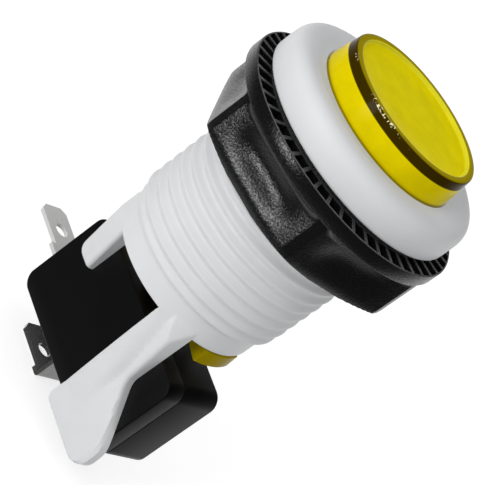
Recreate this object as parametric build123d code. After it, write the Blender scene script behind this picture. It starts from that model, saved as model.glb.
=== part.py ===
from build123d import *
import math
import os

# Panel-mount arcade push button: a moulded housing with a threaded barrel and switch legs, a snap-in
# translucent plunger on a return spring, a clamping nut and a two-terminal snap-action microswitch.
# Millimetres. +Z points out of the panel towards the player, the origin is the centre of the bezel's
# underside, which seats on the panel, and X runs along the microswitch.

# Clearances
slide_gap = 0.3
hook_gap = 0.12
thread_gap = 0.2
peg_gap = 0.1
slot_gap = 0.05
stem_gap = 0.15
spring_gap = 0.05
pivot_gap = 0.1
press_gap = 0.05

# Bezel
bezel_radius = 16.6
bezel_height = 5.0
bezel_shoulder_round = 2.6
bezel_crest_radius = 13.6
bezel_dip = 0.25

# Barrel: a coarse thread, then a smooth tail
thread_radius = 13.3
thread_pitch = 1.98
thread_depth = 0.6
thread_crest = 0.5
thread_start = 1.6
thread_length = 26.0
thread_runout = 0.9
tail_radius = 12.35
barrel_length = 29.5
barrel_rim_chamfer = 0.25
bore_radius = 10.4
floor_depth = 14.0
floor_thickness = 1.6

# Plunger
cap_radius = 11.5
cap_top_radius = 11.2
cap_rise = 4.15
cap_edge_chamfer = 0.3
cap_wall = 1.5
cap_top_thickness = 1.3
dish_radius = 10.2
dish_depth = 0.6
skirt_depth = 1.6
press_travel = 2.0
prong_thickness = 1.8
prong_angle = 5.75
prong_half_angle = 16.75
hook_radius = 12.5
hook_thickness = 2.3
post_radius = 2.6

# Return spring
spring_radius = 5.2
spring_wire = 0.8
spring_turns = 6

# Clamping nut
nut_rest_gap = 0.7
nut_length = 9.75
nut_flange_radius = 18.35
nut_flange_thickness = 2.1
nut_wall = 1.95
nut_corner_angle = 16.0
nut_corner_flat = 1.27
nut_scoop_radius = 5.0
nut_scoop_depth = 0.6
nut_scoop_place = 4.3
nut_scoop_sweep = 47.0
nut_chamfer = 1.1
nut_teeth = 48
nut_tooth_angle = -0.9
nut_tooth_gap = 1.6
nut_tooth_depth = 0.9
nut_tooth_length = 2.4
nut_rim = 0.25

# Microswitch case
switch_length = 27.8
switch_height = 15.9
switch_thickness = 10.3
switch_offset = 1.9
switch_standoff = 5.05
switch_corner_round = 2.0
switch_wall = 1.2
cover_thickness = 3.1
hole_radius = 1.2
hole_inset_x = 3.2
hole_inset_z = 2.8
boss_wall = 0.9

# Switch legs on the housing
leg_thickness = 2.65
leg_root = 3.5
leg_lean = 2.4
leg_lean_length = 18.0
leg_end_round = 1.2
short_leg_width = 3.7
short_leg_edge = 1.15
short_leg_end = 1.7
long_leg_inner = 6.6
long_leg_outer = 11.2
far_leg_inner = 4.9
foot_reach = 17.2
foot_overhang = 0.9
foot_corner_round = 2.8
foot_edge_round = 0.9
foot_flare_start = 2.95
foot_flare_end = 12.9
peg_length = 2.2

# Switch actuator
stem_length = 4.0
stem_width = 2.8
stem_rise = 1.9
stem_collar = 0.7
stem_collar_height = 0.8
stem_travel = 1.0
stem_top_round = 0.6

# Switch terminals and contacts
blade_width = 4.8
blade_thickness = 0.6
blade_shoulder_width = 6.6
blade_shoulder_length = 3.0
blade_tip_chamfer = 0.9
blade_hole_radius = 1.1
blade_hole_from_tip = 4.1
open_blade_height = 4.8
open_blade_reach = 9.9
open_blade_inside = 5.0
common_blade_drop = 4.3
common_blade_reach = 8.7
common_bend_round = 0.5
common_post_x = 0.4
leaf_thickness = 0.35
leaf_width = 3.6
leaf_pivot_x = 9.3
leaf_end_overlap = 0.5
leaf_slot_width = 0.4
leaf_slot_length = 10.0
contact_radius = 1.3
contact_height = 0.65
contact_x = -8.4
contact_break = 0.95

# Levels and places worked out from the sizes above
well_radius = cap_radius + slide_gap
well_depth = skirt_depth + press_travel + slide_gap
cap_top_z = bezel_height + cap_rise
cap_underside_z = cap_top_z - dish_depth - cap_top_thickness
cap_cavity_radius = cap_radius - cap_wall
prong_radius = bore_radius - slide_gap
prong_inner_radius = prong_radius - prong_thickness
hook_front_z = -barrel_length - hook_gap
hook_rear_z = hook_front_z - hook_thickness
post_hole_radius = post_radius + slide_gap
nut_front_z = -nut_rest_gap
nut_flange_rear_z = nut_front_z - nut_flange_thickness
nut_rear_z = nut_front_z - nut_length
nut_bore_radius = thread_radius + thread_gap
nut_flat = nut_bore_radius + nut_wall + nut_scoop_depth
nut_corner_radius = nut_flat / math.cos(math.radians(30))
nut_corner_reach = nut_corner_radius - nut_corner_flat / 2 / math.tan(math.radians(60))
switch_front_z = -barrel_length - switch_standoff
switch_rear_z = switch_front_z - switch_height
switch_mid_z = (switch_front_z + switch_rear_z) / 2
switch_near_y = -switch_thickness / 2
switch_far_y = switch_thickness / 2
seam_y = switch_near_y + cover_thickness
switch_min_x = switch_offset - switch_length / 2
switch_max_x = switch_offset + switch_length / 2
front_hole_x = switch_min_x + hole_inset_x
front_hole_z = switch_front_z - hole_inset_z
rear_hole_x = switch_max_x - hole_inset_x
rear_hole_z = switch_rear_z + hole_inset_z
peg_radius = hole_radius - peg_gap
stem_top_z = switch_front_z + stem_rise
post_bottom_z = stem_top_z + press_travel - stem_travel + press_gap
open_blade_z = switch_rear_z + open_blade_height
fixed_contact_z = open_blade_z + blade_thickness / 2 + contact_height
leaf_rear_z = fixed_contact_z + contact_break + contact_height
leaf_front_z = leaf_rear_z + leaf_thickness
contact_swing = (contact_break - press_gap) / (leaf_pivot_x - contact_x + contact_radius)
leaf_drop = contact_swing * (leaf_pivot_x - stem_length / 2)
stem_foot_z = leaf_front_z + stem_travel - leaf_drop + press_gap
common_blade_z = switch_rear_z - common_blade_drop


def outline(*corners):
    """A closed face on the XZ plane. Each corner is (x, z, rounding radius)."""
    points = [(x, z) for x, z, _ in corners]
    rounds = [rounding for _, _, rounding in corners]
    return Plane.XZ * make_face(FilletPolyline(*points, radius=rounds, close=True).edges())


def turned(*corners):
    """A solid of revolution about Z from an outline of (radius, z, rounding radius) corners."""
    return revolve(outline(*corners), axis=Axis.Z)


def sector(inner, outer, low, high, half_angle):
    """A block of a ring between two radii and two levels, centred on +X."""
    face = outline((inner, low, 0), (outer, low, 0), (outer, high, 0), (inner, high, 0))
    return Rot(0, 0, -half_angle) * revolve(face, axis=Axis.Z, revolution_arc=2 * half_angle)


def block(x0, x1, y0, y1, z0, z1):
    """A box between two opposite corners."""
    return Pos((x0 + x1) / 2, (y0 + y1) / 2, (z0 + z1) / 2) * Box(x1 - x0, y1 - y0, z1 - z0)


def across(x, z, radius, y0, y1):
    """A round bar along Y, for pegs, bosses and mounting holes."""
    return Pos(x, (y0 + y1) / 2, z) * Rot(90, 0, 0) * Cylinder(radius, y1 - y0)


def slab(face, front_y, back_y):
    """An XZ outline given its thickness from front_y back to back_y."""
    return Pos(0, back_y, 0) * extrude(face, amount=back_y - front_y)


def prong_slots(low, high, extra):
    """Both plunger prongs' passages, grown by a clearance on every side."""
    angle = prong_half_angle + math.degrees(extra / prong_inner_radius)
    passage = Rot(0, 0, prong_angle) * sector(prong_inner_radius - extra, bore_radius, low, high, angle)
    return passage + Rot(0, 0, 180) * passage


def thread_groove():
    """The V between the thread's turns, along one right-hand helix from under the bezel to the tail."""
    low_z = -thread_length - thread_depth / 2
    path = Helix(thread_pitch, -thread_start - low_z, thread_radius, center=(0, 0, low_z))
    half_width = (thread_pitch - thread_crest) / 2
    past = thread_gap / 2
    half_past = half_width * (thread_depth + past) / thread_depth
    vee = make_face(Polyline((-thread_depth, 0), (past, -half_past), (past, half_past), close=True))
    section = Plane(origin=path @ 0, x_dir=(1, 0, 0), z_dir=path % 0) * vee
    return sweep(section, path=path, is_frenet=True)


def leaning_leg(x0, x1, front_y, back_y):
    """A leg whose front leans out from front_y at its lower end to the barrel's surface at its root."""
    low_z = -barrel_length - leg_lean_length
    root_z = leg_root - barrel_length
    root_y = front_y - leg_lean * (leg_lean_length + leg_root) / leg_lean_length
    corners = ((back_y, low_z), (front_y, low_z), (root_y, root_z), (back_y, root_z))
    side = Plane.YZ * make_face(Polyline(*corners, close=True))
    return Pos(x0, 0, 0) * extrude(side, amount=x1 - x0, dir=(1, 0, 0))


def make_housing():
    """One moulding: bezel, barrel with its spring floor, and the legs that hold the switch."""
    floor_rear_z = -floor_depth - floor_thickness
    shell = turned(
        (well_radius, bezel_height - bezel_dip, 0),
        (bezel_crest_radius, bezel_height, 0),
        (bezel_radius, bezel_height, bezel_shoulder_round),
        (bezel_radius, 0, 0),
        (thread_radius, 0, 0),
        (thread_radius, thread_runout - thread_length, 0),
        (tail_radius, -thread_length, 0),
        (tail_radius, barrel_rim_chamfer - barrel_length, 0),
        (tail_radius - barrel_rim_chamfer, -barrel_length, 0),
        (bore_radius, -barrel_length, 0),
        (bore_radius, floor_rear_z, 0),
        (post_hole_radius, floor_rear_z, 0),
        (post_hole_radius, -floor_depth, 0),
        (bore_radius, -floor_depth, 0),
        (bore_radius, -well_depth, 0),
        (well_radius, -well_depth, 0),
    )
    shell -= prong_slots(floor_rear_z, -floor_depth, slide_gap)
    shell -= thread_groove()

    # Legs run down from inside the barrel wall on both sides of the switch
    root_z = leg_root - barrel_length
    short_end_z = front_hole_z - short_leg_end
    short_outer = front_hole_x - short_leg_edge
    short_face = outline(
        (short_outer, root_z, 0),
        (short_outer, short_end_z, leg_end_round),
        (short_outer + short_leg_width, short_end_z, leg_end_round / 2),
        (short_outer + short_leg_width, root_z, 0),
    )
    far_face = outline(
        (far_leg_inner, root_z, 0),
        (far_leg_inner, short_end_z, leg_end_round / 2),
        (far_leg_inner + short_leg_width, short_end_z, leg_end_round),
        (far_leg_inner + short_leg_width, root_z, 0),
    )
    near_front_y = switch_near_y - leg_thickness
    far_back_y = switch_far_y + leg_thickness
    tail_bar = Pos(0, 0, (root_z + switch_rear_z) / 2) * Cylinder(tail_radius, root_z - switch_rear_z)
    shell += slab(short_face, near_front_y, switch_near_y) & tail_bar
    shell += leaning_leg(long_leg_inner, long_leg_outer, near_front_y, switch_near_y) & tail_bar
    shell += slab(short_face, switch_far_y, far_back_y) & tail_bar
    shell += slab(far_face, switch_far_y, far_back_y) & tail_bar

    # The near long leg goes on into a flared foot over the switch's rear corner
    foot_z = switch_rear_z - foot_overhang
    flush_x = math.sqrt(tail_radius**2 - near_front_y**2)
    foot = slab(
        outline(
            (long_leg_inner, switch_front_z - foot_flare_start, 0),
            (long_leg_inner, foot_z, 0),
            (foot_reach, foot_z, foot_corner_round),
            (foot_reach, switch_front_z - foot_flare_end, foot_corner_round / 2),
            (flush_x, switch_front_z - foot_flare_start, 0),
        ),
        near_front_y,
        switch_near_y,
    )
    front_edges = foot.faces().sort_by(Axis.Y)[0].edges().sort_by(Axis.X)
    shell += fillet(front_edges[2:], foot_edge_round)

    # Pegs on the near legs locate the switch by its mounting holes
    shell += across(front_hole_x, front_hole_z, peg_radius, switch_near_y, switch_near_y + peg_length)
    shell += across(rear_hole_x, rear_hole_z, peg_radius, switch_near_y, switch_near_y + peg_length)
    return shell


def make_plunger():
    """One translucent moulding: a dished cap with a skirt, a central post and two hooked prongs."""
    cap = turned(
        (0, cap_top_z - dish_depth, 0),
        (dish_radius, cap_top_z - dish_depth, 0),
        (dish_radius, cap_top_z, 0),
        (cap_top_radius - cap_edge_chamfer, cap_top_z, 0),
        (cap_top_radius, cap_top_z - cap_edge_chamfer, 0),
        (cap_radius, bezel_height, 0),
        (cap_radius, -skirt_depth, 0),
        (cap_cavity_radius, -skirt_depth, 0),
        (cap_cavity_radius, cap_underside_z, 0),
        (post_radius, cap_underside_z, 0),
        (post_radius, post_bottom_z, 0),
        (0, post_bottom_z, 0),
    )
    prong = sector(prong_inner_radius, prong_radius, hook_rear_z, cap_underside_z, prong_half_angle)
    hook = sector(prong_inner_radius, hook_radius, hook_rear_z, hook_front_z, prong_half_angle)
    snap = Rot(0, 0, prong_angle) * (prong + hook)
    return cap + snap + Rot(0, 0, 180) * snap


def make_return_spring():
    """A helical compression spring between the barrel's floor and the cap's underside."""
    low_z = -floor_depth + spring_wire / 2 + spring_gap
    high_z = cap_underside_z - spring_wire / 2 - spring_gap
    path = Helix((high_z - low_z) / spring_turns, high_z - low_z, spring_radius, center=(0, 0, low_z))
    section = Plane(origin=path @ 0, z_dir=path % 0) * RegularPolygon(spring_wire / 2, 4)
    return sweep(section, path=path, is_frenet=True)


def make_mounting_nut():
    """A flange with a ring of teeth inside its rim, on a hexagon with flattened corners and scooped sides."""
    sides = Rot(0, 0, nut_corner_angle) * RegularPolygon(nut_flat, 6, major_radius=False)
    corners = Rot(0, 0, nut_corner_angle + 30) * RegularPolygon(nut_corner_reach, 6, major_radius=False)
    body = Pos(0, 0, nut_rear_z) * extrude(sides & corners, amount=nut_length - nut_flange_thickness / 2)
    body &= turned(
        (0, nut_front_z, 0),
        (nut_corner_radius, nut_front_z, 0),
        (nut_corner_radius, nut_rear_z + nut_chamfer, 0),
        (nut_flat, nut_rear_z, 0),
        (0, nut_rear_z, 0),
    )
    scoop_x = nut_flat - nut_scoop_depth + nut_scoop_sweep
    scoop = Torus(nut_scoop_sweep - nut_scoop_radius, nut_scoop_radius)
    scoop = Pos(scoop_x, 0, nut_front_z - nut_scoop_place) * scoop
    for side in range(6):
        body -= Rot(0, 0, nut_corner_angle + 30 + 60 * side) * scoop
    flange = turned(
        (0, nut_front_z, 0),
        (nut_flange_radius, nut_front_z, 0),
        (nut_flange_radius, nut_flange_rear_z, 0),
        (0, nut_flange_rear_z, 0),
    )
    groove_x = nut_flange_radius - nut_rim - nut_tooth_length / 2
    groove = Pos(groove_x, 0, nut_front_z) * Box(nut_tooth_length, nut_tooth_gap, 2 * nut_tooth_depth)
    grooves = [Rot(0, 0, nut_tooth_angle + 360 * k / nut_teeth) * groove for k in range(nut_teeth)]
    flange = flange.cut(*grooves)
    bore = Pos(0, 0, (nut_front_z + nut_rear_z) / 2) * Cylinder(nut_bore_radius, 2 * nut_length)
    return body + flange - bore


def switch_body(front_y, back_y):
    """A slice of the switch case's outside between two Y levels."""
    face = outline(
        (switch_min_x, switch_rear_z, switch_corner_round),
        (switch_max_x, switch_rear_z, switch_corner_round),
        (switch_max_x, switch_front_z, switch_corner_round),
        (switch_min_x, switch_front_z, switch_corner_round),
    )
    return slab(face, front_y, back_y)


def switch_cavity(front_y, back_y):
    """The room inside the case, with the two bosses round the mounting holes left standing."""
    face = outline(
        (switch_min_x + switch_wall, switch_rear_z + switch_wall, switch_corner_round - switch_wall / 2),
        (switch_max_x - switch_wall, switch_rear_z + switch_wall, switch_corner_round - switch_wall / 2),
        (switch_max_x - switch_wall, switch_front_z - switch_wall, switch_corner_round - switch_wall / 2),
        (switch_min_x + switch_wall, switch_front_z - switch_wall, switch_corner_round - switch_wall / 2),
    )
    room = slab(face, front_y, back_y)
    room -= across(front_hole_x, front_hole_z, hole_radius + boss_wall, front_y, back_y)
    room -= across(rear_hole_x, rear_hole_z, hole_radius + boss_wall, front_y, back_y)
    return room


def switch_openings():
    """What is cut through both case halves: mounting holes, terminal slots and the actuator's hole."""
    holes = across(front_hole_x, front_hole_z, hole_radius, 2 * switch_near_y, 2 * switch_far_y)
    holes += across(rear_hole_x, rear_hole_z, hole_radius, 2 * switch_near_y, 2 * switch_far_y)
    half = blade_width / 2 + slot_gap
    thick = blade_thickness / 2 + slot_gap
    middle_x = switch_min_x + switch_wall
    holes += block(switch_min_x - 1, middle_x, -half, half, open_blade_z - thick, open_blade_z + thick)
    post = common_post_x
    deep_z = switch_rear_z + switch_wall
    holes += block(post - thick, post + thick, -half, half, switch_rear_z - 1, deep_z)
    return holes


def make_switch_case():
    """The deep half of the switch case, open towards the cover, with the actuator's hole in front."""
    case = switch_body(seam_y, switch_far_y) - switch_cavity(seam_y, switch_far_y - switch_wall)
    hole = Pos(0, 0, switch_front_z) * Box(
        stem_length + 2 * stem_gap, stem_width + 2 * stem_gap, 3 * switch_wall
    )
    return case - switch_openings() - hole


def make_switch_cover():
    """The shallow half of the switch case, on the side of the legs' pegs."""
    cover = switch_body(switch_near_y, seam_y) - switch_cavity(switch_near_y + switch_wall, seam_y)
    return cover - switch_openings()


def make_switch_actuator():
    """The switch's own push button, kept in by a collar under the case's front wall."""
    collar_front_z = switch_front_z - switch_wall - stem_gap
    stem = block(
        -stem_length / 2, stem_length / 2, -stem_width / 2, stem_width / 2, stem_foot_z, stem_top_z
    )
    stem = fillet(stem.faces().sort_by(Axis.Z)[-1].edges(), stem_top_round)
    collar_x = stem_length / 2 + stem_collar
    collar_y = min(stem_width / 2 + stem_collar, -seam_y - stem_gap)
    return stem + block(
        -collar_x, collar_x, -collar_y, collar_y, collar_front_z - stem_collar_height, collar_front_z
    )


def blade_face(tip_x, root_x, shoulder_x):
    """A tab terminal seen along Z: chamfered tip at tip_x, solder hole, wide shoulder up to root_x."""
    half = blade_width / 2
    wide = blade_shoulder_width / 2
    side = [
        (tip_x, half - blade_tip_chamfer),
        (tip_x + blade_tip_chamfer, half),
        (shoulder_x, half),
        (shoulder_x, wide),
        (root_x, wide),
    ]
    mirrored = [(x, -y) for x, y in reversed(side)]
    face = make_face(Polyline(*side, *mirrored, close=True))
    return face - Pos(tip_x + blade_hole_from_tip, 0) * Circle(blade_hole_radius)


def make_open_terminal():
    """The normally open terminal: a flat tab out of the switch's end, its inner end under the contact."""
    tip_x = switch_min_x - open_blade_reach
    tab = blade_face(tip_x, switch_min_x, switch_min_x - blade_shoulder_length)
    tab = Pos(0, 0, open_blade_z - blade_thickness / 2) * extrude(tab, amount=blade_thickness)
    inner_x = switch_min_x + open_blade_inside
    half = blade_width / 2
    low_z = open_blade_z - blade_thickness / 2
    return tab + block(switch_min_x, inner_x, -half, half, low_z, low_z + blade_thickness)


def make_common_terminal():
    """The common terminal: a tab bent square behind the switch, and the post that the leaf pivots on."""
    thick = blade_thickness / 2
    half = blade_width / 2
    root_x = common_post_x + thick
    tip_x = root_x - common_blade_reach
    tab = blade_face(tip_x, root_x, root_x - blade_shoulder_length / 2)
    tab = Pos(0, 0, common_blade_z - thick) * extrude(tab, amount=blade_thickness)
    wide = blade_shoulder_width / 2
    stem = block(common_post_x - thick, root_x, -wide, wide, common_blade_z - thick, switch_rear_z)
    bend = stem + tab
    corner = bend.edges().filter_by(Axis.Y).sort_by(Axis.Z)[:6].sort_by(Axis.X)[-1]
    bend = fillet(corner, common_bend_round)
    run_z = switch_rear_z + switch_wall
    inside = block(common_post_x - thick, root_x, -half, half, switch_rear_z, run_z + blade_thickness)
    run = block(root_x, leaf_pivot_x + thick, -half, half, run_z, run_z + blade_thickness)
    post = block(
        leaf_pivot_x - thick, leaf_pivot_x + thick, -half, half, run_z, leaf_rear_z - pivot_gap
    )
    return bend + inside + run + post


def make_contact_leaf():
    """The springy contact leaf, slotted into two side strips and a middle tongue."""
    leaf = block(
        contact_x - contact_radius - leaf_end_overlap,
        leaf_pivot_x + leaf_end_overlap,
        -leaf_width / 2,
        leaf_width / 2,
        leaf_rear_z,
        leaf_front_z,
    )
    slot_y = leaf_width / 6
    for y in (-slot_y, slot_y):
        leaf -= Pos(0, y, leaf_rear_z) * Box(leaf_slot_length, leaf_slot_width, 4 * leaf_thickness)
    return leaf


def contact_rivet(base_z, height):
    """A round contact standing on base_z."""
    return Pos(contact_x, 0, base_z + height / 2) * Cylinder(contact_radius, height)


pieces = {
    "housing": make_housing(),
    "plunger": make_plunger(),
    "return_spring": make_return_spring(),
    "mounting_nut": make_mounting_nut(),
    "switch_case": make_switch_case(),
    "switch_cover": make_switch_cover(),
    "switch_actuator": make_switch_actuator(),
    "common_terminal": make_common_terminal(),
    "normally_open_terminal": make_open_terminal(),
    "contact_leaf": make_contact_leaf(),
    "moving_contact": contact_rivet(leaf_rear_z - contact_height, contact_height),
    "fixed_contact": contact_rivet(fixed_contact_z - contact_height, contact_height),
}

os.makedirs("parts", exist_ok=True)
for name, shape in pieces.items():
    export_step(shape, f"parts/{name}.step")
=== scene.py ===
import bmesh
import bpy
import numpy as np
from mathutils import Matrix


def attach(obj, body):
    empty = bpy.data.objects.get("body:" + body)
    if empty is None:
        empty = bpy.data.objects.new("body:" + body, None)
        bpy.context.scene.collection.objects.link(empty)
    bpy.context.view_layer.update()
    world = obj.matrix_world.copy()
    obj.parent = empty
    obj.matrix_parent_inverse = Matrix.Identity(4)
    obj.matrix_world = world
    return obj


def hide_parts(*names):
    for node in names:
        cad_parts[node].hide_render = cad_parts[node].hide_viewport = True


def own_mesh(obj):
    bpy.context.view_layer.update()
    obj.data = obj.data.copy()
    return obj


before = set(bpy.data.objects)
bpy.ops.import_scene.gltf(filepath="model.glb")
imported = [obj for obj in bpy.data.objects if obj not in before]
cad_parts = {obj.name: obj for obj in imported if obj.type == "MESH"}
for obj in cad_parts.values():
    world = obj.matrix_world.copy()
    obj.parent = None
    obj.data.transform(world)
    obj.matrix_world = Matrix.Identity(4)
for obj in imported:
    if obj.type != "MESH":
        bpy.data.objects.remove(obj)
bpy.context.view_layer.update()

# Housing: one injection moulding in white ABS. The bezel, the coarse threaded barrel, the spring's
# floor and the legs that clasp the switch are all one piece, with every edge slightly rounded by the tool.
MM = 0.001
TAU = 2 * np.pi


def linear(colour):
    """An sRGB hex colour as linear RGBA: a straight toe below 0.04045, a 2.4 power above it."""
    srgb = np.array([int(colour[i:i + 2], 16) for i in (1, 3, 5)]) / 255
    rgb = np.where(srgb <= 0.04045, srgb / 12.92, ((srgb + 0.055) / 1.055) ** 2.4)
    return (*rgb.tolist(), 1.0)


def add_node(material, kind, wires=(), **settings):
    """One node in a material's tree. A setting names an input, with _ for a space, or else a property.
    wires pairs an input's number with its value, for inputs that share a name. A socket given as a value
    is linked, anything else is stored."""
    tree = material.node_tree
    node = tree.nodes.new(kind)
    for name, value in [*settings.items(), *wires]:
        numbered = isinstance(name, int)
        socket = node.inputs[name] if numbered else node.inputs.get(name.replace("_", " "))
        if socket is None:
            setattr(node, name, value)
        elif isinstance(value, bpy.types.NodeSocket):
            tree.links.new(value, socket)
        else:
            socket.default_value = value
    return node


def new_finish(name):
    """An empty material, and the Object coordinates that its patterns read."""
    material = bpy.data.materials.new(name)
    material.use_nodes = True
    material.node_tree.nodes.clear()
    place = add_node(material, "ShaderNodeTexCoord").outputs["Object"]
    return material, place


def moulded(name, sheets, sharp_degrees=38):
    """One mesh from several grids of points in millimetres, each rows x columns x 3. Neighbouring points
    are joined by quads, doubled points at seams and poles are merged, and all faces are turned outwards."""
    points, quads, first = [], [], 0
    for sheet in sheets:
        rows, columns = sheet.shape[:2]
        index = first + np.arange(rows * columns).reshape(rows, columns)
        corners = [index[:-1, :-1], index[:-1, 1:], index[1:, 1:], index[1:, :-1]]
        quads.append(np.stack(corners, -1).reshape(-1, 4))
        points.append(sheet.reshape(-1, 3))
        first += rows * columns
    points, quads = np.concatenate(points) * MM, np.concatenate(quads)
    mesh = bpy.data.meshes.new(name)
    mesh.from_pydata(points, [], quads)
    form = bmesh.new()
    form.from_mesh(mesh)
    bmesh.ops.remove_doubles(form, verts=form.verts, dist=1e-7)
    bmesh.ops.dissolve_degenerate(form, edges=form.edges, dist=1e-8)
    bmesh.ops.recalc_face_normals(form, faces=form.faces)
    form.to_mesh(mesh)
    form.free()
    mesh.shade_smooth()
    mesh.set_sharp_from_angle(angle=np.radians(sharp_degrees))
    piece = bpy.data.objects.new(name, mesh)
    bpy.context.scene.collection.objects.link(piece)
    return piece


def corner(centre, size, start, stop, steps=8, power=2.0):
    """A rounded corner in the (radius, z) plane: a quarter or part of the superellipse of that power."""
    angle = np.radians(np.linspace(start, stop, steps))
    c, s = np.cos(angle), np.sin(angle)
    r = centre[0] + size[0] * np.sign(c) * np.abs(c) ** (2 / power)
    z = centre[1] + size[1] * np.sign(s) * np.abs(s) ** (2 / power)
    return np.stack([r, z], -1)


def spun(profile, start=0.0, stop=360.0, columns=145):
    """A profile of (radius, z) points carried round Z from one angle to another, in degrees."""
    angle = np.radians(np.linspace(start, stop, columns))[None, :]
    r, z = profile[:, 0, None], profile[:, 1, None]
    return np.stack(np.broadcast_arrays(r * np.cos(angle), r * np.sin(angle), z), -1)


def ring_piece(inner, outer, low, high, start, stop, columns=25):
    """A closed block of a ring: its four-cornered section carried round an arc, with both ends shut."""
    section = np.array([(inner, low), (outer, low), (outer, high), (inner, high), (inner, low)])
    side = spun(section, start, stop, columns)
    ends = [np.stack([side[:, k], np.broadcast_to(side[:-1, k].mean(0), side[:, k].shape)]) for k in (0, -1)]
    return [side, *ends]


bezel_radius, bezel_height, bezel_skirt = 16.6, 5.0, 0.45
crown_radius, crown_z, crown_power = 14.0, 2.1, 2.9
well_radius, well_floor, lip_radius, lip_round, dip_width, dip_depth = 11.8, -3.9, 11.68, 0.22, 2.1, 0.25
thread_root, thread_depth, thread_pitch, thread_low, thread_end = 12.7, 0.6, 1.98, -26.3, -25.7
tail_radius, barrel_end, rim_round, bore_radius, bore_round = 12.35, -29.5, 0.3, 10.4, 0.2
floor_low, floor_high, floor_hole, floor_ring, floor_reach = -15.6, -14.0, 2.9, 8.0, 10.5
barrel_columns = 193

dip_start = lip_radius + lip_round
dip_low = bezel_height - dip_depth
dip = np.linspace(0, 1, 10)[1:-1, None]
bezel_outline = np.concatenate([
    [(well_radius, well_floor), (well_radius, 3.4), (lip_radius, 3.8)],
    corner((dip_start, dip_low - lip_round), (lip_round, lip_round), 180, 90),
    (dip_start, dip_low) + np.concatenate([dip_width * dip, dip_depth * (0.5 - 0.5 * np.cos(np.pi * dip))], 1),
    corner((crown_radius, crown_z), (bezel_radius - crown_radius, bezel_height - crown_z), 90, 0,
           28, crown_power),
    corner((bezel_radius - bezel_skirt, bezel_skirt), (bezel_skirt, bezel_skirt), 0, -90),
    [(13.9, 0.0)],
])
tail_outline = np.concatenate([
    corner((tail_radius - rim_round, barrel_end + rim_round), (rim_round, rim_round), 0, -90, 6),
    [(bore_radius + bore_round, barrel_end), (bore_radius, barrel_end + bore_round),
     (bore_radius, well_floor), (well_radius, well_floor)],
])


def threaded(rows=262):
    """The barrel's outside: radius = root + depth x (1 - cos(turns)) / 2, where the turns are those of a
    right-hand helix, z / pitch - angle / full turn. The thread dies away softly before the plain tail."""
    z = np.linspace(-0.05, barrel_end + rim_round, rows)[:, None]
    angle = np.linspace(0, TAU, barrel_columns)[None, :]
    swell = 0.5 - 0.5 * np.cos(TAU * (z - thread_low) / thread_pitch - angle)
    fade = 1 / (1 + np.exp(-(z - thread_end) / 0.3))
    r = tail_radius + (thread_root - tail_radius + thread_depth * swell) * fade
    return np.stack(np.broadcast_arrays(r * np.cos(angle), r * np.sin(angle), z), -1)


floor_section = np.array([(floor_hole, floor_low), (floor_ring, floor_low), (floor_ring, floor_high),
                          (floor_hole, floor_high), (floor_hole, floor_low)])
barrel = [spun(bezel_outline, columns=barrel_columns), threaded(), spun(tail_outline, columns=barrel_columns)]
housing_sheets = [np.concatenate(barrel), spun(floor_section, columns=97)]
for begin in (24.6, 204.6):
    housing_sheets += ring_piece(floor_ring - 0.1, floor_reach, floor_low, floor_high, begin, begin + 142.2)


def leg(z, inner, outer, front, turn, lean=0.0, limit=99.0, edge=0.9, soften=0.35, columns=20):
    """A leg as a closed section carried down z: along its back, up its inner side, round the inner edge, over
    the front and round the outer edge. The front leans out by lean at each height, but no further than the
    barrel's own cylinder, and nothing stands outside the limit radius. turn gives the signs of x outwards
    and of y outwards."""
    t = np.linspace(0, 1, columns)[None, :]
    stations = np.broadcast_arrays(z, inner, outer, front, lean, limit)
    z, inner, outer, front, lean, limit = (v[:, None] for v in stations)
    begin = inner + soften
    flat, bend, side = outer - edge - begin, edge * np.pi / 2, front - edge - leg_back
    way = t * (flat + bend + side)
    angle = np.clip((way - flat) / edge, 0, np.pi / 2)
    over_x = begin + np.minimum(way, flat) + edge * np.sin(angle)
    over_y = front - edge * (1 - np.cos(angle)) - np.clip(way - flat - bend, 0, None)
    room = np.sqrt(np.maximum(flush_radius ** 2 - over_x ** 2, 0)) - front
    over_y = over_y + np.clip((lean + room - np.hypot(lean - room, 0.8)) / 2, 0, None)
    held = np.minimum(1, limit / np.hypot(over_x, over_y))
    over_x, over_y = over_x * held, over_y * held
    top = over_y[:, :1]
    back_x, back_y = over_x[:, -1:] + (inner - over_x[:, -1:]) * t, leg_back + 0 * t * z
    inner_x, inner_y = inner + 0 * t, leg_back + (top - soften - leg_back) * t
    quarter = t * np.pi / 2
    edge_x, edge_y = over_x[:, :1] - soften * np.cos(quarter), top - soften * (1 - np.sin(quarter))
    x = np.concatenate([back_x, inner_x, edge_x, over_x], 1) * turn[0]
    y = np.concatenate([back_y, inner_y, edge_y, over_y], 1) * turn[1]
    body = np.stack([x, y, np.broadcast_to(z, x.shape)], -1)
    ends = [np.stack([body[k], np.broadcast_to(body[k].mean(0), body[k].shape)]) for k in (0, -1)]
    return [body, *ends]


def end_round(z, end, radius):
    """How far a rounded corner has drawn an edge in at each height: radius - sqrt(radius^2 - depth^2)."""
    depth = np.clip(radius - (z - end), 0, radius)
    return radius - np.sqrt(np.maximum(radius ** 2 - depth ** 2, 0))


def down_to(end, top=-27.5, steps=70):
    """Heights from a leg's root to its end, closer together towards the end."""
    return top + (end - top) * np.sin(np.linspace(0, np.pi / 2, steps))


leg_back, flush_radius = 5.15, tail_radius + 0.01
short_end, short_tip, short_taper = -39.85, 6.35, 1.75
foot_end, foot_tip, foot_reach, foot_flare, flare_top = -51.95, 6.85, 17.6, 0.875, -39.74
lean_low, lean_length = -48.5, 19.0

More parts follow.
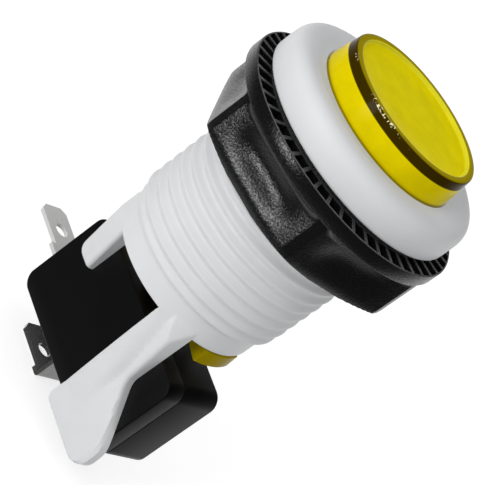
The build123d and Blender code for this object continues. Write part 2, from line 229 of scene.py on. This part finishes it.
short_z = down_to(short_end)
short_rise = np.clip((short_z - short_end) / 9.5, 0, 1)
short_front = short_tip + short_taper * short_rise - end_round(short_z, short_end, 0.6)
for facing in (-1, 1):
    housing_sheets += leg(short_z, 6.25 + end_round(short_z, short_end, 0.4),
                          9.95 - end_round(short_z, short_end, 1.5), short_front, (-1, facing), soften=0.6)
housing_sheets += leg(short_z, 4.9 + end_round(short_z, short_end, 0.6),
                      8.6 - end_round(short_z, short_end, 1.2), short_front, (1, 1))

foot_z = down_to(foot_end, steps=160)
diagonal = 11.2 + foot_flare * np.clip(flare_top - foot_z, 0, None)
diagonal = np.convolve(np.pad(diagonal, 4, mode="edge"), np.ones(9) / 9, mode="valid")
diagonal = (diagonal + foot_reach - np.hypot(diagonal - foot_reach, 0.7)) / 2
foot_front = foot_tip + 1.75 * np.clip((foot_z + 40) / 10.5, 0, 1) ** 1.2
foot_rise = (foot_z - lean_low) / lean_length
foot_lean = foot_tip + 3.39 * np.clip(foot_rise, 0, None) - foot_front
foot_lean += 3.0 * np.exp(np.minimum(foot_z - barrel_end, 0) / 0.7)
foot_limit = flush_radius + 1.25 * np.clip((-28.2 - foot_z) / 2.6, 0, 1)
foot_limit += 0.7 * np.clip(-37.0 - foot_z, 0, None)
housing_sheets += leg(foot_z, 6.0 + 1.09 * np.clip(foot_rise, 0, 1) + end_round(foot_z, foot_end, 1.3),
                      diagonal - end_round(foot_z, foot_end, 2.6),
                      foot_front - end_round(foot_z, foot_end, 0.5), (1, -1), foot_lean, foot_limit, edge=0.6)


def peg(x, z, radius=1.1, tip=-2.95, root=-5.3, columns=33):
    """A locating peg along Y: a circle carried from its root to a chamfered tip, with both ends shut."""
    angle = np.linspace(0, TAU, columns)[None, :]
    y = np.array([root, root, tip - 0.3, tip, tip])[:, None]
    r = radius * np.array([0, 1, 1, 0.75, 0])[:, None]
    return np.stack(np.broadcast_arrays(x + r * np.cos(angle), y, z + r * np.sin(angle)), -1)


housing_sheets += [peg(-8.8, -37.35), peg(12.6, -47.65)]
housing = moulded("white_housing", housing_sheets)

white_abs, place = new_finish("Moulded white ABS")
# Even, faintly cool white with a soft sheen: a slow mottle in the colour and a fine ripple in the skin.
mottle = add_node(white_abs, "ShaderNodeTexNoise", Vector=place, Scale=1 / (6 * MM), Detail=3.0)
tint = add_node(white_abs, "ShaderNodeValToRGB", Fac=mottle.outputs["Fac"])
tint.color_ramp.elements[0].color = linear("#e3e4e6")
tint.color_ramp.elements[1].color = linear("#edeeef")
grain = add_node(white_abs, "ShaderNodeTexNoise", Vector=place, Scale=1 / (0.35 * MM), Detail=2.0)
ripple = add_node(white_abs, "ShaderNodeBump", Height=grain.outputs["Fac"], Strength=0.06, Distance=0.1 * MM)
skin = add_node(white_abs, "ShaderNodeBsdfPrincipled", Base_Color=tint.outputs["Color"], Roughness=0.42,
                IOR=1.5, Specular_IOR_Level=0.3, Normal=ripple.outputs["Normal"])
add_node(white_abs, "ShaderNodeOutputMaterial", Surface=skin.outputs[0])
housing.data.materials.append(white_abs)
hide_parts("housing")
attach(housing, "housing")

# Plunger: one moulding in clear yellow polycarbonate. The solid top plate is dished and polished and the
# skirt below it is thin; two prongs snap behind the barrel and a post reaches down to the switch.
cap_top, cap_edge, dish_radius, dish_floor, band_low, band_radius = 9.15, 0.28, 10.2, 8.55, 7.8, 11.34
skirt_radius, skirt_high, skirt_low, skirt_bore, plate_low = 11.62, 4.9, -1.6, 10.0, 7.25
post_radius, post_end, post_chamfer = 2.6, -31.6, 0.4
prong_inner, prong_outer, prong_low, prong_high, prong_start, prong_stop = 8.3, 10.1, -29.8, 7.4, -11, 22.5
hook_low, hook_high = -31.92, -29.62

cap_outline = np.concatenate([
    [(0.0, dish_floor), (5.0, dish_floor)],
    corner((dish_radius - 0.45, dish_floor + 0.3), (0.3, 0.3), -90, 0, 6),
    corner((dish_radius + 0.1, cap_top - 0.22), (0.25, 0.22), 180, 90, 6),
    corner((10.9, cap_top - cap_edge), (cap_edge, cap_edge), 90, 0, 7),
    [(band_radius, band_low), (skirt_radius, skirt_high), (skirt_radius, skirt_low), (skirt_bore, skirt_low),
     (skirt_bore, plate_low), (post_radius, plate_low), (post_radius, post_end + post_chamfer),
     (post_radius - post_chamfer, post_end), (0.0, post_end)],
])
hook_outline = np.array([(prong_inner, hook_low), (12.35, hook_low), (12.56, hook_low + 0.2), (12.42, -29.75),
                         (12.3, hook_high), (prong_inner, hook_high), (prong_inner, hook_low)])
hook = spun(hook_outline, prong_start, prong_stop, 25)
prong = [*ring_piece(prong_inner, prong_outer, prong_low, prong_high, prong_start, prong_stop), hook]
for column, angle in ((0, np.radians(prong_start)), (-1, np.radians(prong_stop))):
    middle = (10.4 * np.cos(angle), 10.4 * np.sin(angle), -30.8)
    prong.append(np.stack([hook[:, column], np.broadcast_to(middle, hook[:, column].shape)]))
opposite_prong = [sheet * (-1, -1, 1) for sheet in prong]
plunger = moulded("yellow_plunger", [spun(cap_outline, columns=193), *prong, *opposite_prong])

yellow_clear, place = new_finish("Polished yellow polycarbonate")
# Deep yellow, bright in the dish, faintly cloudy all over and a touch lighter at its lowest end, by the hooks.
# The look of the clear plastic is painted into the colour: a painted dark shade band where one looks into the
# edge of the top plate, painted glints on the edge above it, painted olive shade on the flat rim, a painted
# highlight line round the dish, and painted shade at the foot of the side beside the bezel.
axes = add_node(yellow_clear, "ShaderNodeSeparateXYZ", Vector=place)
# The side's colours up its height: painted shade at the foot beside the bezel, clear yellow, then from about z
# 7.85 mm a painted dark shade band, where the edge of the clear top plate would look dark.
level = add_node(yellow_clear, "ShaderNodeMapRange", Value=axes.outputs["Z"],
                 From_Min=4.9 * MM, From_Max=9.2 * MM)
side = add_node(yellow_clear, "ShaderNodeValToRGB", Fac=level.outputs["Result"])
side.color_ramp.elements[0].color = linear("#a08c00")
side.color_ramp.elements[1].color = linear("#463700")
side_tones_and_painted_shade = ((0.03, "#dcc600"), (0.1, "#ecd600"), (0.66, "#f0da00"), (0.685, "#3c2d00"), (0.95, "#3c2d00"))
for stop, tone in side_tones_and_painted_shade:
    side.color_ramp.elements.new(stop).color = linear(tone)
flat_place = add_node(yellow_clear, "ShaderNodeCombineXYZ", X=axes.outputs["X"], Y=axes.outputs["Y"])
span = add_node(yellow_clear, "ShaderNodeVectorMath", operation="LENGTH", Vector=flat_place.outputs["Vector"])
# The top's colours outwards: yellow in the dish, a painted highlight line round its edge, then painted olive
# shade across the flat rim, darker outwards.
ring = add_node(yellow_clear, "ShaderNodeMapRange", Value=span.outputs["Value"],
                From_Min=9.78 * MM, From_Max=11.1 * MM)
top = add_node(yellow_clear, "ShaderNodeValToRGB", Fac=ring.outputs["Result"])
top.color_ramp.elements[0].color = linear("#ffec00")
top.color_ramp.elements[1].color = linear("#8c7c00")
top_tones_painted_highlight_and_shade = ((0.1, "#ffec00"), (0.16, "#fff430"), (0.26, "#fff430"), (0.32, "#b3a000"), (0.85, "#a89500"))
for stop, tone in top_tones_painted_highlight_and_shade:
    top.color_ramp.elements.new(stop).color = linear(tone)
above = add_node(yellow_clear, "ShaderNodeMapRange", Value=axes.outputs["Z"],
                 From_Min=8.4 * MM, From_Max=8.5 * MM)
inside = add_node(yellow_clear, "ShaderNodeMapRange", Value=span.outputs["Value"],
                  From_Min=11.12 * MM, From_Max=11.06 * MM)
on_top = add_node(yellow_clear, "ShaderNodeMath", operation="MULTIPLY",
                  wires=[(0, above.outputs["Result"]), (1, inside.outputs["Result"])])
both = add_node(yellow_clear, "ShaderNodeMix", data_type="RGBA", blend_type="MIX",
                wires=[(0, on_top.outputs[0]), (6, side.outputs["Color"]), (7, top.outputs["Color"])])
flow = add_node(yellow_clear, "ShaderNodeTexNoise", Vector=place, Scale=1 / (2.5 * MM), Detail=4.0)
shade = add_node(yellow_clear, "ShaderNodeMapRange", Value=flow.outputs["Fac"], From_Min=0.3, From_Max=0.7,
                 To_Min=0.93, To_Max=1.04)
depth = add_node(yellow_clear, "ShaderNodeMapRange", Value=axes.outputs["Z"], From_Min=-29.0 * MM,
                 From_Max=-28.0 * MM, To_Min=1.04, To_Max=1.0)
dimmed = add_node(yellow_clear, "ShaderNodeMath", operation="MULTIPLY",
                  wires=[(0, shade.outputs["Result"]), (1, depth.outputs["Result"])])
mottled = add_node(yellow_clear, "ShaderNodeMix", data_type="RGBA", blend_type="MULTIPLY",
                   wires=[(0, 1.0), (6, both.outputs[2]), (7, dimmed.outputs[0])])
# Painted glints: pale bright specks in patches along the top plate's outer edge, painted highlights.
glint_speck_noise = add_node(yellow_clear, "ShaderNodeTexNoise", Vector=place, Scale=1 / (0.32 * MM), Detail=1.0)
glint_patch_noise = add_node(yellow_clear, "ShaderNodeTexNoise", Vector=place, Scale=1 / (4.0 * MM), Detail=0.0)
glint = add_node(yellow_clear, "ShaderNodeMapRange", Value=glint_speck_noise.outputs["Fac"], From_Min=0.55, From_Max=0.62)
cluster = add_node(yellow_clear, "ShaderNodeMapRange", Value=glint_patch_noise.outputs["Fac"], From_Min=0.5, From_Max=0.58)
edge_low = add_node(yellow_clear, "ShaderNodeMapRange", Value=axes.outputs["Z"],
                    From_Min=8.7 * MM, From_Max=8.8 * MM)
edge_out = add_node(yellow_clear, "ShaderNodeMapRange", Value=span.outputs["Value"],
                    From_Min=10.9 * MM, From_Max=10.95 * MM)
painted_glint_mask = edge_low
for part in (edge_out, glint, cluster):
    painted_glint_mask = add_node(yellow_clear, "ShaderNodeMath", operation="MULTIPLY",
                     wires=[(0, painted_glint_mask.outputs[0]), (1, part.outputs["Result"])])
with_painted_glints = add_node(yellow_clear, "ShaderNodeMix", data_type="RGBA", blend_type="MIX",
                     wires=[(0, painted_glint_mask.outputs[0]), (6, mottled.outputs[2]), (7, linear("#fff8c0"))])
polish = add_node(yellow_clear, "ShaderNodeBsdfPrincipled", Base_Color=with_painted_glints.outputs[2], Roughness=0.15,
                  IOR=1.58, Specular_IOR_Level=0.02)
add_node(yellow_clear, "ShaderNodeOutputMaterial", Surface=polish.outputs[0])
plunger.data.materials.append(yellow_clear)
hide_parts("plunger")
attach(plunger, "plunger")
# The clear plastic throws hardly any yellow on the white bezel beside it.
plunger.visible_diffuse = False

# Return spring: a compression spring coiled from drawn steel wire, standing on the barrel's floor
# inside the plunger, with its end coils wound close.
spring_radius, wire_radius, spring_low, spring_high, spring_turns = 5.2, 0.4, -13.55, 6.8, 6


def coil(turns, steps=420, sides=13):
    """A round wire carried along a helix: centre (R cos a, R sin a, z(a)), with the wire's circle turned
    out along the radius and up along Z. The first and last turn climb less than the others."""
    t = np.linspace(0, 1, steps)
    angle = TAU * turns * t
    z = spring_low + (spring_high - spring_low) * (t - 0.35 / TAU * np.sin(TAU * t))
    out = np.stack([np.cos(angle), np.sin(angle), 0 * angle], -1)
    middle = spring_radius * out + np.stack([0 * z, 0 * z, z], -1)
    ring = np.linspace(0, TAU, sides)[None, :, None]
    tube = middle[:, None] + wire_radius * (np.cos(ring) * out[:, None] + np.sin(ring) * np.array([0, 0, 1.0]))
    ends = np.repeat(middle[[0, -1], None], sides, 1)
    return np.concatenate([ends[:1], tube, ends[1:]])


spring = moulded("return_spring_coil", [coil(spring_turns)])
wire_steel, place = new_finish("Drawn spring steel")
# Grey metal with an uneven polish left by the drawing die.
drawn = add_node(wire_steel, "ShaderNodeTexNoise", Vector=place, Scale=1 / (0.5 * MM), Detail=2.0)
rough = add_node(wire_steel, "ShaderNodeMapRange", Value=drawn.outputs["Fac"], To_Min=0.22, To_Max=0.42)
wire = add_node(wire_steel, "ShaderNodeBsdfPrincipled", Base_Color=linear("#a9abad"), Metallic=1.0,
                Roughness=rough.outputs["Result"])
add_node(wire_steel, "ShaderNodeOutputMaterial", Surface=wire.outputs[0])
spring.data.materials.append(wire_steel)
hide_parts("return_spring")
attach(spring, "housing")
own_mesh(spring)

# Clamping nut: moulded in black glass-filled nylon. A round flange with a ring of fine teeth faces the
# panel, and the hexagon behind it has shallow bowls in its sides and a narrow flat on each corner.
nut_front, nut_flange_rear, nut_rear, nut_bore, nut_flange_radius = -0.7, -2.8, -10.45, 13.5, 18.35
nut_flat, nut_corner_reach, nut_corner_angle = 16.05, 18.17, 16.0
bowl_depth, bowl_z, bowl_high, bowl_wide = 0.7, -5.9, 2.1, 5.5
nut_teeth, tooth_angle, tooth_depth, tooth_inner, tooth_outer = 48, np.radians(-0.9), 0.9, 15.6, 18.05


def hexagon(angle, z):
    """Radius of the six-sided body at each angle: the nearer of its side and the narrow flat across the
    corner, each its distance / cos(angle from its own middle). A shallow bowl,
    exp(-(z / high)^2 - (along / wide)^4), sinks the side."""
    off_side = np.radians((np.degrees(angle) - nut_corner_angle) % 60 - 30)
    off_corner = np.radians((np.degrees(angle) - nut_corner_angle + 30) % 60 - 30)
    bowl = np.exp(-((z - bowl_z) / bowl_high) ** 2 - (nut_flat * np.tan(off_side) / bowl_wide) ** 4)
    side = (nut_flat - bowl_depth * bowl) / np.cos(off_side)
    return np.minimum(side, nut_corner_reach / np.cos(off_corner))


def clamping_nut(columns_per_tooth=18):
    """Stations from the bore's front edge over the flange, down the sides and back through the bore, each a
    radius and a height for every angle. Grooves between the teeth lower the flange's front inside a smooth
    rim, a fillet joins the flange to the sides, and a cone and a rounding take off the rear edges."""
    along = np.linspace(0, 1, nut_teeth * columns_per_tooth + 1)
    angle = tooth_angle + TAU * along
    groove = np.clip((np.abs((along * nut_teeth) % 1 - 0.5) - 0.125) / 0.03, 0, 1)
    cut = nut_front - tooth_depth * groove
    front = [(nut_bore, nut_rear + 0.6), (nut_bore, nut_front - 0.4), (nut_bore + 0.4, nut_front),
             (tooth_inner, nut_front), (tooth_inner + 0.1, cut), (tooth_outer, cut), (18.1, nut_front),
             (18.2, nut_front), (18.31, nut_front - 0.04), (nut_flange_radius, nut_front - 0.15),
             (nut_flange_radius, nut_flange_rear + 0.2), (18.29, nut_flange_rear + 0.06),
             (18.15, nut_flange_rear)]
    body = []
    for z in np.concatenate([np.linspace(nut_flange_rear - 0.02, -7.4, 24), np.linspace(-7.5, nut_rear, 22)]):
        fillet = np.clip(1 - (nut_flange_rear - z) / 1.1, 0, 1) ** 2.2
        worn = 0.35 * np.clip((nut_rear + 1.8 - z) / 1.8, 0, 1) ** 2
        cone = nut_flat + 0.3 + (z - nut_rear) * 2.25
        r = np.minimum(hexagon(angle, z), cone)
        body.append((r + (18.15 - r) * fillet - worn, z))
    rear = [(nut_bore + 0.5, nut_rear), (nut_bore, nut_rear + 0.6)]
    stations = front + body + rear
    r, z = (np.stack([np.broadcast_to(pair[k], angle.shape) for pair in stations]) for k in (0, 1))
    return np.stack([r * np.cos(angle), r * np.sin(angle), z], -1)


nut = moulded("black_nut", [clamping_nut()], sharp_degrees=30)
black_nylon, place = new_finish("Grained black nylon")
# Deep black with a coarse pitted skin, so that a highlight on it breaks up into bright grains, and a painted
# highlight in grey on the tops of the teeth.
pits = add_node(black_nylon, "ShaderNodeTexNoise", Vector=place, Scale=1 / (0.3 * MM), Detail=3.0,
                Roughness=0.6)
grain = add_node(black_nylon, "ShaderNodeBump", Height=pits.outputs["Fac"], Strength=0.6, Distance=0.07 * MM)
height = add_node(black_nylon, "ShaderNodeSeparateXYZ", Vector=place)
# Painted highlight: everything from z -0.74 mm forwards, the tops of the teeth and of the rims round them, is
# grey where light catches them.
tooth_top_painted_highlight = add_node(black_nylon, "ShaderNodeMapRange", Value=height.outputs["Z"],
                  From_Min=-0.8 * MM, From_Max=-0.74 * MM)
colour = add_node(black_nylon, "ShaderNodeValToRGB", Fac=tooth_top_painted_highlight.outputs["Result"])
colour.color_ramp.elements[0].color = linear("#121213")
colour.color_ramp.elements[1].color = linear("#505050")
gloss = add_node(black_nylon, "ShaderNodeMapRange", Value=pits.outputs["Fac"], From_Min=0.35, From_Max=0.65,
                 To_Min=0.2, To_Max=0.36)
nylon = add_node(black_nylon, "ShaderNodeBsdfPrincipled", Base_Color=colour.outputs["Color"],
                 Roughness=gloss.outputs["Result"], IOR=1.53, Specular_IOR_Level=0.5,
                 Normal=grain.outputs["Normal"])
add_node(black_nylon, "ShaderNodeOutputMaterial", Surface=nylon.outputs[0])
nut.data.materials.append(black_nylon)
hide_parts("mounting_nut")
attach(nut, "nut")

# Microswitch case: two black phenolic mouldings, a deep case and a shallow cover, meeting at a seam
# that runs round the sides. A mounting hole goes right through, and the edges are slightly rounded.
switch_low = np.array([-12.0, -50.45])
switch_high = np.array([15.8, -34.55])
switch_round, seam, half_thickness, outer_edge, seam_edge = 2.0, -2.05, 5.15, 0.25, 0.12
hole_place, hole_radius = np.array([12.6, -47.65]), 1.2


def tray(front, back):
    """A round-cornered rectangle in XZ carried through its thickness along Y, with quarter-round edges. Its
    faces are rings of quads between the outline and one round hole, which goes right through."""
    half, middle = (switch_high - switch_low) / 2, (switch_high + switch_low) / 2
    quarter = np.radians(np.linspace(0, 90, 13))
    arcs = [np.stack([np.cos(quarter + k * np.pi / 2), np.sin(quarter + k * np.pi / 2)], -1) for k in range(4)]
    centres = np.array([(1, 1), (-1, 1), (-1, -1), (1, -1)]) * (half - switch_round)
    rim = np.concatenate([c + switch_round * a for c, a in zip(centres, arcs)])
    rim = np.concatenate([rim, rim[:1]])
    normal = np.concatenate([*arcs, arcs[0][:1]])
    sign = np.sign(back - front)
    steps = np.radians(np.linspace(0, 90, 5))
    front_rows = [(rim - normal * outer_edge * (1 - np.sin(a)), front + sign * outer_edge * (1 - np.cos(a)))
                  for a in steps]
    back_rows = [(rim - normal * seam_edge * (1 - np.sin(a)), back - sign * seam_edge * (1 - np.cos(a)))
                 for a in steps[::-1]]
    toward = rim - (hole_place - middle)
    angle = np.arctan2(toward[:, 1], toward[:, 0])
    circle = hole_place - middle + hole_radius * np.stack([np.cos(angle), np.sin(angle)], -1)
    rows = [(circle, front), *front_rows, *back_rows, (circle, back), (circle, front)]
    xz = np.stack([row[0] for row in rows]) + middle
    y = np.broadcast_to(np.array([row[1] for row in rows])[:, None], xz.shape[:2])
    return np.stack([xz[..., 0], y, xz[..., 1]], -1)


case = moulded("black_switch_case", [tray(half_thickness, seam + 0.02)], 30)
cover = moulded("black_switch_cover", [tray(-half_thickness, seam - 0.02)], 30)
phenolic, place = new_finish("Matt black phenolic")
# Even matt black with a fine grain that only just breaks the sheen.
dust = add_node(phenolic, "ShaderNodeTexNoise", Vector=place, Scale=1 / (0.25 * MM), Detail=3.0)
skin = add_node(phenolic, "ShaderNodeBump", Height=dust.outputs["Fac"], Strength=0.12, Distance=0.08 * MM)
matt = add_node(phenolic, "ShaderNodeBsdfPrincipled", Base_Color=linear("#070708"), Roughness=0.45, IOR=1.5,
                Specular_IOR_Level=0.35, Normal=skin.outputs["Normal"])
add_node(phenolic, "ShaderNodeOutputMaterial", Surface=matt.outputs[0])
for shell, node in ((case, "switch_case"), (cover, "switch_cover")):
    shell.data.materials.append(phenolic)
    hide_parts(node)
    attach(shell, "housing")

# Switch works: the actuator, the contact leaf and the two contacts sit inside the case, and the two
# tinned brass tabs are stamped from strip, the common one bent square behind the switch.
works = (
    ("Moulded black acetal", "#101011", 0.0, 0.35, ("switch_actuator",)),
    ("Rolled phosphor bronze", "#b8824a", 1.0, 0.3, ("contact_leaf",)),
    ("Polished contact silver", "#d8d8d4", 1.0, 0.2, ("moving_contact", "fixed_contact")),
    ("Tinned brass strip", "#b4b5b3", 0.9, 0.24, ("common_terminal",)),
    # The normally open tab is the same tinned brass as the common one; its pale, nearly unmetallic grey is
    # painted reflection.
    ("Tinned brass strip painted pale", "#eeefed", 0.12, 0.3, ("normally_open_terminal",)),
)
for name, tone, metallic, roughness, nodes in works:
    finish, place = new_finish(name)
    # Soft black, warm brown metal, bright metal, grey metal and a pale grey, each unevenly polished. The pale
    #     # grey is the normally open tab's tinned brass with little metal in it, a painted reflection that
    #     keeps it bright.
    wear = add_node(finish, "ShaderNodeTexNoise", Vector=place, Scale=1 / (0.6 * MM), Detail=3.0)
    spread = add_node(finish, "ShaderNodeMapRange", Value=wear.outputs["Fac"],
                      To_Min=roughness - 0.08, To_Max=roughness + 0.1)
    surface = add_node(finish, "ShaderNodeBsdfPrincipled", Base_Color=linear(tone), Metallic=metallic,
                       Roughness=spread.outputs["Result"])
    add_node(finish, "ShaderNodeOutputMaterial", Surface=surface.outputs[0])
    for node in nodes:
        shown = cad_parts[node].data.materials
        shown.clear()
        shown.append(finish)

# Camera: a long lens a quarter of a metre away, above the foot's side of the button, and rolled so that
# the button lies along the picture's diagonal.
eye = np.array([129.41, -211.23, 90.0]) * MM
right, up, away = (0.3341, 0.5846, 0.7393), (-0.8149, -0.2151, 0.5383), (0.4737, -0.7823, 0.4046)
lens = bpy.data.cameras.new("photo_camera")
lens.sensor_fit, lens.sensor_width, lens.lens = "HORIZONTAL", 36.0, 152.37
lens.clip_start, lens.clip_end = 0.01, 20.0
camera = bpy.data.objects.new("photo_camera", lens)
camera_turn = Matrix(np.stack([right, up, away], 1).tolist()).to_4x4()
camera.matrix_world = Matrix.Translation(eye.tolist()) @ camera_turn
bpy.context.scene.collection.objects.link(camera)
bpy.context.scene.camera = camera

# Table: a white board just under the lowest tab, matt, and bright enough to look like plain paper while
# it still takes the button's soft shadow.
bpy.context.scene.view_settings.view_transform = "Standard"
table_z = -55.3
bpy.ops.mesh.primitive_plane_add(size=3.0, location=(0, 0, table_z * MM))
table = bpy.context.object
table.name = "table_top"
paper, place = new_finish("White table")
# Near white where it lights the button; where it is looked at, a greyer white that glows, so that only
# the shadow shows.
seen = add_node(paper, "ShaderNodeLightPath")
lighting = add_node(paper, "ShaderNodeBsdfDiffuse", Color=linear("#f4f4f4"))
shaded = add_node(paper, "ShaderNodeBsdfDiffuse", Color=linear("#c4c4c4"))
glow = add_node(paper, "ShaderNodeEmission", Color=(1, 1, 1, 1), Strength=0.72)
bright = add_node(paper, "ShaderNodeAddShader", wires=[(0, shaded.outputs[0]), (1, glow.outputs[0])])
direct = add_node(paper, "ShaderNodeMath", operation="MAXIMUM",
                  wires=[(0, seen.outputs["Is Camera Ray"]), (1, seen.outputs["Is Transmission Ray"])])
looked_at = add_node(paper, "ShaderNodeMath", operation="MAXIMUM",
                     wires=[(0, direct.outputs[0]), (1, seen.outputs["Is Glossy Ray"])])
board = add_node(paper, "ShaderNodeMixShader", Fac=looked_at.outputs[0],
                 wires=[(1, lighting.outputs[0]), (2, bright.outputs[0])])
add_node(paper, "ShaderNodeOutputMaterial", Surface=board.outputs[0])
table.data.materials.append(paper)
table.visible_glossy = False

# Surround and lamps: even white on all sides, pure white behind the button. What the glossy plastics
# mirror is white only low behind it and straight below, and dark elsewhere, so that black stays black.
# The key lamp lights the colours alone and the small sheen lamp the gloss alone.
world = bpy.data.worlds.new("White surround")
bpy.context.scene.world = world
world.use_nodes = True
world.node_tree.nodes.clear()
seen = add_node(world, "ShaderNodeLightPath")
soft = add_node(world, "ShaderNodeBackground", Color=(1, 1, 1, 1), Strength=0.53)
plain = add_node(world, "ShaderNodeBackground", Color=(1, 1, 1, 1), Strength=1.0)
way = add_node(world, "ShaderNodeTexCoord")
behind = tuple(-a for a in away)
toward = add_node(world, "ShaderNodeVectorMath", operation="DOT_PRODUCT",
                  wires=[(0, way.outputs["Generated"]), (1, behind)])
backdrop = add_node(world, "ShaderNodeMapRange", Value=toward.outputs["Value"], From_Min=0.35, From_Max=0.8,
                    To_Min=0.03, To_Max=1.0)
height = add_node(world, "ShaderNodeSeparateXYZ", Vector=way.outputs["Generated"])
low = add_node(world, "ShaderNodeMapRange", Value=height.outputs["Z"], From_Min=0.0, From_Max=0.3,
               To_Min=1.0, To_Max=0.03)
lit = add_node(world, "ShaderNodeMath", operation="MULTIPLY",
               wires=[(0, backdrop.outputs["Result"]), (1, low.outputs["Result"])])
below = add_node(world, "ShaderNodeMapRange", Value=height.outputs["Z"], From_Min=-0.65, From_Max=-0.85,
                 To_Min=0.0, To_Max=1.0)
shine = add_node(world, "ShaderNodeMath", operation="MAXIMUM",
                 wires=[(0, lit.outputs[0]), (1, below.outputs["Result"])])
mirrored = add_node(world, "ShaderNodeBackground", Color=(1, 1, 1, 1), Strength=shine.outputs[0])
direct = add_node(world, "ShaderNodeMath", operation="MAXIMUM",
                  wires=[(0, seen.outputs["Is Camera Ray"]), (1, seen.outputs["Is Transmission Ray"])])
around = add_node(world, "ShaderNodeMixShader", Fac=seen.outputs["Is Glossy Ray"],
                  wires=[(1, soft.outputs[0]), (2, mirrored.outputs[0])])
sky = add_node(world, "ShaderNodeMixShader", Fac=direct.outputs[0],
               wires=[(1, around.outputs[0]), (2, plain.outputs[0])])
add_node(world, "ShaderNodeOutputWorld", Surface=sky.outputs[0])


def lamp(name, toward, size, watts, distance=0.5):
    """A square soft lamp aimed at the button's middle. toward is its direction in the picture's right, up and
    towards-the-camera axes."""
    aim = np.array([0, 0, -20]) * MM
    way = np.array(toward, float) @ np.array([right, up, away])
    way /= np.linalg.norm(way)
    light = bpy.data.lights.new(name, "AREA")
    light.size, light.energy = size, watts
    holder = bpy.data.objects.new(name, light)
    side = np.cross((0, 0, 1), way)
    side /= np.linalg.norm(side)
    turn = np.stack([side, np.cross(way, side), way], 1)
    holder.matrix_world = Matrix.Translation((aim + way * distance).tolist()) @ Matrix(turn.tolist()).to_4x4()
    bpy.context.scene.collection.objects.link(holder)
    return holder


key = lamp("key_lamp", (-0.35, 0.5, 1.0), 0.3, 1.0)
key.visible_glossy = False
sheen = lamp("sheen_lamp", (-0.68, 0.16, 0.72), 0.12, 0.8)
sheen.visible_diffuse = False

bpy.context.view_layer.update()
